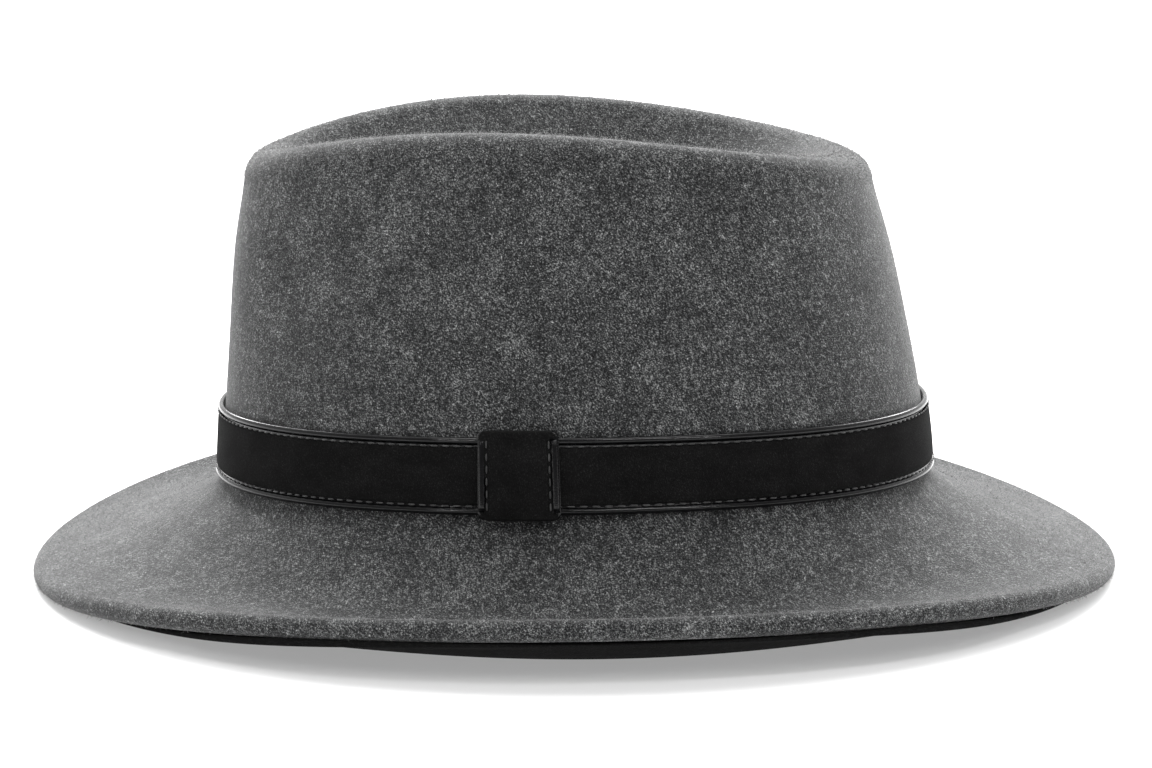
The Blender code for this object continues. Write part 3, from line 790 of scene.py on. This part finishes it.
def make_felt_shell(material):
    """Crown and brim are one felt, its edge rolled under over the wire."""
    angles = around(256)
    outer = np.concatenate(
        [
            np.linspace(0.03, 0.97, 26),
            np.linspace(1.0, 2.0, 26)[:-1],
            np.linspace(2.0, 3.0, 44)[:-1],
            np.linspace(3.0, 4.0, 9)[:-1],
            np.linspace(4.0, 5.0, 50),
        ]
    )
    inner = np.concatenate(
        [np.linspace(0.08, 0.95, 12), np.linspace(1.0, 2.0, 12)[:-1], np.linspace(2.0, 5.0, 60)]
    )
    middle = dent_middle(np.zeros(1))
    outside = [middle] + [layer(angles, station, 0.0) for station in outer]
    inside = [layer(angles, station, FELT) for station in inner[::-1]] + [middle - FELT * UP]
    centre, along, above, _, _ = edge_frame(angles)
    fold = EDGE_RADIUS - FELT

    def roll(radius, turn, back=0.0):
        return centre + radius * (math.cos(turn) * above + math.sin(turn) * along) - back * along

    outer_roll = [roll(EDGE_RADIUS, math.pi * share) for share in np.linspace(0, 1, 17)[1:]]
    middle_of_end = (EDGE_RADIUS + fold) / 2
    half = (EDGE_RADIUS - fold) / 2
    end = [
        roll(middle_of_end + half * math.cos(turn), math.pi, HEM_RETURN + 0.0005 * math.sin(turn))
        for turn in np.linspace(0, math.pi, 7)
    ]
    inner_roll = [roll(fold, math.pi * share) for share in np.linspace(1, 0, 7)[:-1]]
    rings = outside + outer_roll + end + inner_roll + inside
    for ring in rings:
        ring[:, 2] = np.maximum(ring[:, 2], 0.0)
    return add_piece("felt_shell", rings, material, nodes=["felt_body"])


def make_loose_fibres(name, material, count, shares, stations):
    """Wool hairs that stand off the felt, each a bent spike with three sides. Those that would dip
    below the ground are left out."""
    random = np.random.default_rng(SEED)
    angle = random.uniform(0, 2 * math.pi, count)
    station = np.interp(random.uniform(0, 1, count), shares, stations)
    root = layer(angle, station, HAIR_SUNK)
    normal = skin_normal(angle, station)
    lean = unit(random.normal(size=(count, 3)))
    lean = unit(lean - np.sum(lean * normal, axis=1, keepdims=True) * normal)
    length = random.uniform(*HAIR_LENGTHS, (count, 1))
    stand = random.uniform(*HAIR_STANDS, (count, 1))
    bend = root + length * 0.5 * (stand * normal + (1 - stand) * lean)
    curl = unit(lean + 0.8 * unit(random.normal(size=(count, 3))))
    tip = bend + length * 0.5 * (0.6 * stand * normal + curl * 0.8)
    thick = random.uniform(*HAIR_RADII, (count, 1))
    side = np.cross(normal, lean)
    corners = [
        centre + thick * size * (math.cos(turn) * side + math.sin(turn) * (normal - lean))
        for centre, size in ((root, 1.0), (bend, 0.8))
        for turn in around(3)
    ]
    hairs = np.stack([*corners, tip], axis=1)
    hairs = hairs[hairs[:, :, 2].min(axis=1) > 0]
    each = hairs.shape[1]
    faces = [[each * hair + corner for corner in face] for hair in range(len(hairs)) for face in HAIR_FACES]
    return add_mesh(name, hairs.reshape(-1, 3), faces, material, "hat", ())


def lip(angle):
    """The facing's own edge, which comes out under the roll between the ends and the sides."""
    centre, along, above, _, _ = edge_frame(angle)
    side = sideways(angle)
    share = np.clip((side - LIP_STARTS) / (LIP_WHOLE - LIP_STARTS), 0, 1)
    share = (eased(share) * (1 - side**6))[:, None]
    out = GAP - LIP_BACK + share * (LIP_BACK + LIP_REACH)
    below = EDGE_RADIUS + GAP
    deep = below + LIP_THINNEST + share * LIP
    half = (deep - below) / 2
    rings = [(-LIP_BACK, below, 2 * GAP + LIP_THINNEST), (out - half, below, 2 * GAP + LIP_THINNEST)]
    for turn in np.linspace(0, math.pi, 9)[1:-1]:
        reach = out - half + half * math.sin(turn)
        depth = below + half - half * math.cos(turn)
        rings.append((reach, depth, 2 * GAP + LIP_THINNEST * (1 + math.cos(turn)) / 2))
    rings.append((out - half, deep, 2 * GAP))
    made = []
    for reach, depth, lowest in rings:
        ring = centre + reach * along - depth * above
        ring[:, 2] = np.maximum(ring[:, 2], lowest)
        made.append(ring)
    return made


def make_facing(material):
    angles = around(256)
    stations = np.concatenate([np.linspace(FACING_START, 4.0, 6)[:-1], np.linspace(4.0, FACING_END, 52)])
    top = FELT + GAP
    upper = [layer(angles, station, top) for station in stations]
    bottom = top + FACING + FACING_SWELL * np.maximum(stations - 4, 0) ** 2
    lower = [layer(angles, station, depth) for station, depth in zip(stations[::-1], bottom[::-1])]
    for ring in upper + lower:
        ring[:, 2] = np.maximum(ring[:, 2], GAP)
    rings = upper + lip(angles) + lower
    made = add_piece("brim_facing_felt", rings, material, nodes=["brim_facing"], wrap=True)
    return made


def make_wire(material):
    gap = WIRE_END_GAP / EDGE_HALF_WIDTH
    angles = np.linspace(math.pi + gap, 3 * math.pi - gap, 400)
    centre, along, above, _, _ = edge_frame(angles)
    rings = tube(centre, along, above, WIRE_RADIUS)
    return add_piece("brim_wire_ring", rings, material, nodes=["brim_wire"])


def make_lining(material):
    angles = around(360)
    pleats = PLEAT_DEPTH * (1 + np.sin(PLEATS * angles))
    on_ridge = np.linspace(LINING_SIDE_START, 2.0, 5)[:-1]
    stations = np.concatenate([on_ridge, np.linspace(2.0, LINING_SIDE_END, 26)])

    def pleated(station, depth):
        fade = np.clip((PLEATS_END - station) / PLEATS_FADE, 0, 1)
        return layer(angles, station, depth + pleats * fade)

    upper = [pleated(station, LINING_DEPTH) for station in stations]
    lower = [pleated(station, LINING_DEPTH + LINING) for station in stations[::-1]]
    side = add_piece("lining_side_panel", upper + lower, material, nodes=["lining_side"], wrap=True)

    angles = around(256)
    stations = np.concatenate([np.linspace(0.06, 0.95, 22), np.linspace(1.0, LINING_TIP_END, 10)])

    def creased(station, depth):
        fold = CREASE_DEPTH * (1 + np.sin(CREASES * angles + 3 * station))
        return layer(angles, station, depth + fold * np.clip(station - CREASES_START, 0, 1))

    middle = dent_middle(np.zeros(1))
    upper = [middle - LINING_DEPTH * UP] + [creased(station, LINING_DEPTH) for station in stations]
    lower = [creased(station, LINING_DEPTH + LINING) for station in stations[::-1]]
    lower += [middle - (LINING_DEPTH + LINING) * UP]
    tip = add_piece("lining_tip_panel", upper + lower, material, nodes=["lining_tip"])

    angles = around(320)
    centre = layer(angles, LINING_SEAM, LINING_DEPTH + PIPING_RADIUS + GAP)
    outward = unit(skin(angles, LINING_SEAM) - centre)
    after = layer(angles, LINING_SEAM + 0.04, LINING_DEPTH)
    along = unit(after - layer(angles, LINING_SEAM - 0.04, LINING_DEPTH))
    twist = PIPING_TWIST_DEPTH * (1 + np.sin(PIPING_TWISTS * angles))
    rings = tube(centre, outward, along, PIPING_RADIUS * (1 - twist))
    return side, tip, add_piece("lining_piping_cord", rings, material, nodes=["lining_piping"], wrap=True)


# ---------------------------------------------------------------- band and keeper


def keeper_angle():
    return math.acos(-KEEPER_Y / FOOT_HALF_LENGTH)


def band_lift(angles):
    """The band stands off the crown where the keeper's back layer passes behind it."""
    away = np.abs((angles - keeper_angle() + math.pi) % (2 * math.pi) - math.pi) * FOOT_HALF_LENGTH
    clear = KEEPER_HALF_WIDTH + KEEPER_TRAVEL + BAND_RAMP_CLEAR
    return GAP + BAND_STANDOFF * (1 - eased(np.clip((away - clear) / BAND_RAMP_LENGTH, 0.0, 1.0)))


def band_angles():
    gap = BAND_END_GAP / FOOT_HALF_LENGTH
    return keeper_angle() + np.linspace(gap, 2 * math.pi - gap, 440)


def make_band(leather, suede, thread):
    low, high = BAND_CLIMB, BAND_CLIMB + BAND_HEIGHT
    border, bead = BAND_BORDER, BAND_BORDER_LIFT
    angles = band_angles()
    lift = band_lift(angles)

    def edge(at, inward):
        """The rolled border at one edge. inward is +1 or -1 up the wall."""
        turns = np.linspace(0, math.pi, 9)
        climbs = at + inward * border * (1 - np.cos(turns)) / 2
        return list(zip(climbs, BAND_LEATHER + (bead - BAND_LEATHER) * np.sin(turns)))

    section = [(high - 0.2 * border, 0.0), (low + 0.2 * border, BAND_FLARE)]
    section += edge(low, 1) + edge(high, -1)[::-1]
    section = rounded(filled(section, 0.0045), rounds=2)
    wall_sweep("band_leather_strap", leather, section, angles, lift, nodes=["band_strap"])

    channel = THREAD_CHANNEL
    foot_of, top_of = low + border + 0.8 * channel, high - border - 0.8 * channel
    under, over = BAND_LEATHER + SUEDE_GAP, BAND_LEATHER + SUEDE_GAP + SUEDE
    side, draft = over - SUEDE_SUNK, 0.00005
    face = [(foot_of, under), (foot_of + draft, side), (foot_of + SUEDE_BEVEL, over)]
    face += [(top_of - SUEDE_BEVEL, over), (top_of - draft, side), (top_of, under)]
    face = rounded(filled(face, 0.003), rounds=2)
    wall_sweep("band_suede", suede, face, angles, lift, nodes=["band_suede_face"])

    mean_radius = (FOOT_HALF_LENGTH + FOOT_HALF_WIDTH) / 2
    count = int((angles[-1] - angles[0]) * mean_radius / STITCH_PITCH)
    middles = np.linspace(angles[0], angles[-1], count + 2)[1:-1, None]
    half = STITCH_LENGTH / 2 / FOOT_HALF_LENGTH
    share = np.linspace(-1, 1, 7)[None, :]
    at = middles + half * share
    lifts = band_lift(at) + over - STITCH_SUNK + STITCH_ARCH * (1 - share**4)
    for row, climb in (("lower", low + border + channel / 2), ("upper", high - border - channel / 2)):
        climbs = np.full_like(at, climb)
        add_stitches(f"band_{row}_stitches", thread, at, climbs, lifts, nodes=[f"band_{row}_thread"])


def make_keeper(leather, suede, thread):
    """A loop of leather round the band, with a roll up each side and suede between them."""
    centre = keeper_angle()
    half = KEEPER_HALF_WIDTH / FOOT_HALF_LENGTH
    low, high = BAND_CLIMB - KEEPER_BELOW, BAND_CLIMB + BAND_HEIGHT + KEEPER_ABOVE
    hole_low, hole_high = BAND_CLIMB - GAP, BAND_CLIMB + BAND_HEIGHT + GAP
    hole_back = KEEPER_BACK_LIFT + KEEPER_BACK
    front = GAP + BAND_STANDOFF + BAND_BORDER_LIFT + GAP
    # Outlines of (climb, lift) points, with their corners cut by the small numbers.
    outside = [(low, 0.0016), (low, front), (low + 0.0004, front + KEEPER_FRONT)]
    outside += [(high - 0.0005, front + KEEPER_FRONT), (high, front), (high, 0.0009)]
    outside += [(high - 0.0005, KEEPER_BACK_LIFT), (low + 0.0010, KEEPER_BACK_LIFT)]
    inside = [(hole_low, hole_back + 0.0004), (hole_low, front - 0.0002), (hole_low + 0.0002, front)]
    inside += [(hole_high - 0.0002, front), (hole_high, front - 0.0002), (hole_high, hole_back + 0.0002)]
    inside += [(hole_high - 0.0003, hole_back), (hole_low + 0.0004, hole_back)]

    def from_end(climbs):
        return np.clip(np.minimum(climbs - low, high - climbs), 0, None)

    def corner(climbs):
        """How far the keeper's round corners draw its sides in, as an angle."""
        beyond = np.clip(KEEPER_CORNER - from_end(climbs), 0, None)
        return (KEEPER_CORNER - np.sqrt(KEEPER_CORNER**2 - beyond**2)) / FOOT_HALF_LENGTH

    grids = []
    for path, rounds in ((outside, 2), (inside, 1)):
        climbs, lifts = rounded(filled(path, 0.001), rounds=rounds).T
        across_it = centre + np.linspace(-1, 1, 30)[:, None] * (half - corner(climbs))[None, :]
        grids.append(list(wall_point(across_it, climbs[None, :], lifts[None, :])))
    add_ring_band("keeper_leather_loop", grids[0], grids[1], leather)

    under = front + KEEPER_FRONT + SUEDE_GAP
    proud = KEEPER_BORDER_LIFT - KEEPER_FRONT
    border = KEEPER_BORDER / FOOT_HALF_LENGTH
    inset = KEEPER_ROLL_INSET / FOOT_HALF_LENGTH
    turns = np.linspace(0, math.pi, 17)
    bead = np.stack([(1 - np.cos(turns)) / 2, 1.1 * np.sin(turns)], axis=1)
    climbs = np.linspace(low + KEEPER_ROLL_END, high - KEEPER_ROLL_END, 28)
    fall = np.clip(np.minimum(climbs - climbs[0], climbs[-1] - climbs) / KEEPER_ROLL_FADE, 0, 1)
    swell = 0.25 + 0.75 * np.sqrt(fall * (2 - fall))
    for end, side in KEEPER_SIDES:
        across_it = centre + side * (half - inset - border * bead[:, 0])
        rise = bead[:, 1][None, :] * proud * swell[:, None]
        grid = wall_point(across_it[None, :], climbs[:, None], under + rise)
        add_piece(f"keeper_{end}_roll", list(grid), leather, "keeper", [f"keeper_{end}_border"])

    channel = THREAD_CHANNEL / FOOT_HALF_LENGTH
    edge = half - inset - border - 0.75 * channel
    top = under + SUEDE
    face = [(low - 0.0001, 0.0024), (low - 0.0001, front + 0.0003), (low + 0.0004, top), (high - 0.0004, top)]
    face += [(high + 0.0001, front + 0.0003), (high + 0.0001, 0.0016), (high + 0.00002, 0.0016)]
    face += [(high + 0.00002, front), (high - 0.0004, under), (low + 0.0004, under), (low - 0.00002, front)]
    face += [(low - 0.00002, 0.0024)]
    face_climbs, face_lifts = rounded(filled(face, 0.0007), rounds=1).T
    past_rolls = KEEPER_ROLL_END - 0.0001 - from_end(face_climbs)
    widening = eased(np.clip(past_rolls / KEEPER_FACE_FADE, 0, 1))
    widest = half - KEEPER_FACE_INSET / FOOT_HALF_LENGTH
    reach = edge + (widest - edge) * widening - corner(face_climbs)
    across_it = centre + np.linspace(-1, 1, 24)[:, None] * reach[None, :]
    grid = wall_point(across_it, face_climbs[None, :], face_lifts[None, :])
    add_piece("keeper_suede", list(grid), suede, "keeper", ["keeper_suede_face"])

    first, last = low + KEEPER_STITCH_INSET, high - KEEPER_STITCH_INSET
    middles = np.linspace(first, last, round((last - first) / KEEPER_STITCH_PITCH) + 1)[:, None]
    share = np.linspace(-1, 1, 7)[None, :]
    climbs = middles + STITCH_LENGTH / 2 * share
    lifts = top - STITCH_SUNK + STITCH_ARCH * (1 - share**4) + 0 * climbs
    for end, side in KEEPER_SIDES:
        at = np.full_like(climbs, centre + side * (half - inset - border - channel / 2))
        add_stitches(f"keeper_{end}_stitches", thread, at, climbs, lifts, "keeper", [f"keeper_{end}_thread"])


def add_ring_band(name, outer, inner, material):
    """A loop with a hole through it: outer and inner hold one closed outline for each step across."""
    steps, outer_count, inner_count = len(outer), len(outer[0]), len(inner[0])
    points = np.concatenate(outer + inner)
    base = steps * outer_count
    faces = tube_faces(0, steps, outer_count)
    faces += [[two, one, four, three] for one, two, three, four in tube_faces(base, steps, inner_count)]
    for step, turned in ((0, False), (steps - 1, True)):
        outer_start, inner_start = step * outer_count, base + step * inner_count
        faces += bridge(points, outer_start, outer_count, inner_start, inner_count, turned)
    return add_mesh(name, points, faces, material, "keeper", ["keeper_loop"])


def bridge(points, first, first_count, second, second_count, turned):
    """Triangles between two closed outlines of different point counts, walking round both."""
    one, two = points[first : first + first_count], points[second : second + second_count]
    offset = int(np.argmin(np.linalg.norm(two - one[0], axis=1)))
    faces, i, j = [], 0, 0
    while i < first_count or j < second_count:
        here, there = i % first_count, (offset + j) % second_count
        next_here, next_there = (i + 1) % first_count, (offset + j + 1) % second_count
        ahead_one = np.linalg.norm(one[next_here] - two[there])
        ahead_two = np.linalg.norm(one[here] - two[next_there])
        if j >= second_count or (i < first_count and ahead_one <= ahead_two):
            face = [first + next_here, first + here, second + there]
            i += 1
        else:
            face = [second + there, second + next_there, first + here]
            j += 1
        faces.append(face[::-1] if turned else face)
    return faces


# ---------------------------------------------------------------- inside


def make_sweatband(leather, ribbon, thread):
    back = -(LINING_DEPTH + LINING + GAP)
    face = back - SWEATBAND
    low, high = SWEATBAND_FOOT, SWEATBAND_FOOT + SWEATBAND_HEIGHT
    gap = SWEATBAND_END_GAP / FOOT_HALF_WIDTH
    angles = np.linspace(math.pi + gap, 3 * math.pi - gap, 300)
    corners = [(low, back), (high, back), (high, face), (low, face)]
    section = rounded(filled(corners, 0.003), rounds=2)
    wall_sweep("sweatband_leather", leather, section, angles, nodes=["sweatband"])

    centre = wall_point(angles, low - GAP - REED_RADIUS, back - SWEATBAND / 2)
    outward = wall_normal(angles, np.full_like(angles, low))
    rings = tube(centre, outward, np.broadcast_to(UP, outward.shape), REED_RADIUS)
    add_piece("sweatband_reed_cord", rings, ribbon, nodes=["sweatband_reed"])

    middles = np.linspace(angles[0], angles[-1], SEAM_STITCHES + 2)[1:-1, None]
    share = np.linspace(-1, 1, 5)[None, :]
    at = middles + 0.0010 / FOOT_HALF_WIDTH * share
    lifts = face - GAP / 3 - THREAD / 2 - 0.0001 * (1 - share**2) + 0 * at
    climbs = low + SEAM_HEIGHT + 0.0004 * share + 0 * at
    add_stitches("sweatband_stitches", thread, at, climbs, lifts, nodes=["sweatband_seam"])
    make_bow(ribbon, face - GAP)
    make_label(ribbon, face - 2 * GAP)


def make_bow(material, face):
    """A flat ribbon bow, gathered in at its knot."""
    middle = SWEATBAND_FOOT + SWEATBAND_HEIGHT * BOW_PLACE
    shares = np.linspace(-1, 1, 61)
    in_knot = np.abs(shares) < BOW_KNOT
    reach = np.clip((np.abs(shares) - BOW_KNOT) / 0.5, 0, 1)
    height = BOW_HALF_HEIGHT * np.where(in_knot, 0.5, 0.36 + 0.64 * np.sqrt(reach))
    thick = RIBBON * np.where(in_knot, 3.0, 1.5 + 0.5 * np.sin(math.pi * reach))
    outline = rounded(
        [(-1, 0), (1, 0), (1, -1), (0.45, -1.08), (0.2, -0.85), (-0.25, -1.05), (-0.6, -0.9), (-1, -1)],
        rounds=2,
    )
    climbs = middle + height[:, None] * outline[:, 0][None, :]
    lifts = face + thick[:, None] * outline[:, 1][None, :]
    angles = math.pi + shares[:, None] * BOW_HALF_WIDTH / FOOT_HALF_WIDTH + 0 * climbs
    grid = wall_point(angles, climbs, lifts)
    add_piece("sweatband_ribbon_bow", list(grid), material, nodes=["sweatband_bow"])


def make_label(material, face):
    low = SWEATBAND_FOOT + SWEATBAND_HEIGHT * LABEL_PLACE
    high = low + LABEL_HEIGHT
    corners = [(low, face), (high, face), (high, face - RIBBON), (low, face - RIBBON)]
    section = rounded(filled(corners, 0.002), rounds=1)
    angles = LABEL_ANGLE + LABEL_HALF_WIDTH / FOOT_HALF_LENGTH * np.linspace(-1, 1, 24)
    wall_sweep("blank_size_label", material, section, angles, nodes=["size_label"])


# ---------------------------------------------------------------- room, light and camera


def make_floor():
    bpy.ops.mesh.primitive_plane_add(size=FLOOR_SIZE)
    floor = bpy.context.object
    floor.name = "floor"
    made, _, _ = new_material(
        "light_table", Base_Color=(0.6, 0.6, 0.6, 1.0), Roughness=0.9, Specular_IOR_Level=0.1,
        Emission_Color=(1.0, 1.0, 1.0, 1.0), Emission_Strength=FLOOR_GLOW,
    )
    floor.data.materials.append(made)


def add_softbox(name, azimuth, elevation, distance, size, power):
    """A soft rectangular light aimed at the middle of the hat."""
    light = bpy.data.lights.new(name, "AREA")
    light.shape = "RECTANGLE"
    light.size, light.size_y = size
    light.energy = power
    holder = linked(name, light)
    azimuth, elevation = math.radians(azimuth), math.radians(elevation)
    flat = math.cos(elevation)
    away = (math.sin(azimuth) * flat, -math.cos(azimuth) * flat, math.sin(elevation))
    holder.location = (distance * away[0], distance * away[1], AIM_HEIGHT + distance * away[2])
    holder.rotation_euler = (math.pi / 2 - elevation, 0.0, azimuth)


def make_light():
    """A white room, seen pure white by the camera, and the softboxes."""
    world = bpy.data.worlds.new("white_room")
    world.use_nodes = True
    tree = world.node_tree
    direction = add_node(tree, "TexCoord", {})
    toward = add_node(tree, "SeparateXYZ", {0: direction})
    glow = remap(tree, toward, *GLOW_CHANGE, GLOW_FROM_BELOW, GLOW_FROM_ABOVE)
    path = tree.nodes.new("ShaderNodeLightPath")
    seen = path.outputs["Is Camera Ray"]
    strength = math_node(tree, "MAXIMUM", glow, seen)
    background = tree.nodes["Background"]
    background.inputs["Color"].default_value = (1.0, 1.0, 1.0, 1.0)
    tree.links.new(strength, background.inputs["Strength"])
    bpy.context.scene.world = world
    for softbox in SOFTBOXES:
        add_softbox(*softbox)
    bpy.context.scene.view_settings.view_transform = "Standard"


def make_camera():
    camera = bpy.data.cameras.new("camera")
    camera.lens = LENS
    camera.sensor_width = 36.0
    holder = linked("camera", camera)
    east, north = math.sin(CAMERA_AZIMUTH), -math.cos(CAMERA_AZIMUTH)
    holder.location = CAMERA_DISTANCE * east, CAMERA_DISTANCE * north, CAMERA_HEIGHT
    holder.rotation_euler = (math.pi / 2 - CAMERA_PITCH, 0.0, CAMERA_AZIMUTH)
    bpy.context.scene.camera = holder


leather = make_leather("black_calf_leather", "black_leather", (0.0022, 0.0022, 0.0025), 0.15, gloss=0.22)
sweat_leather = make_leather("sweatband_calf", "sweat_leather", (0.022, 0.018, 0.016), 0.42, gloss=0.4)
suede = make_suede()
thread = make_thread()
ribbon = make_ribbon()
make_felt_shell(make_grey_felt())
wool = make_loose_wool()
for fibres in LOOSE_FIBRES:
    make_loose_fibres(fibres[0], wool, *fibres[1:])
make_facing(make_black_felt())
make_wire(make_steel())
make_lining(make_satin())
make_band(leather, suede, thread)
make_keeper(leather, suede, thread)
make_sweatband(sweat_leather, ribbon, thread)
make_floor()
make_light()
make_camera()
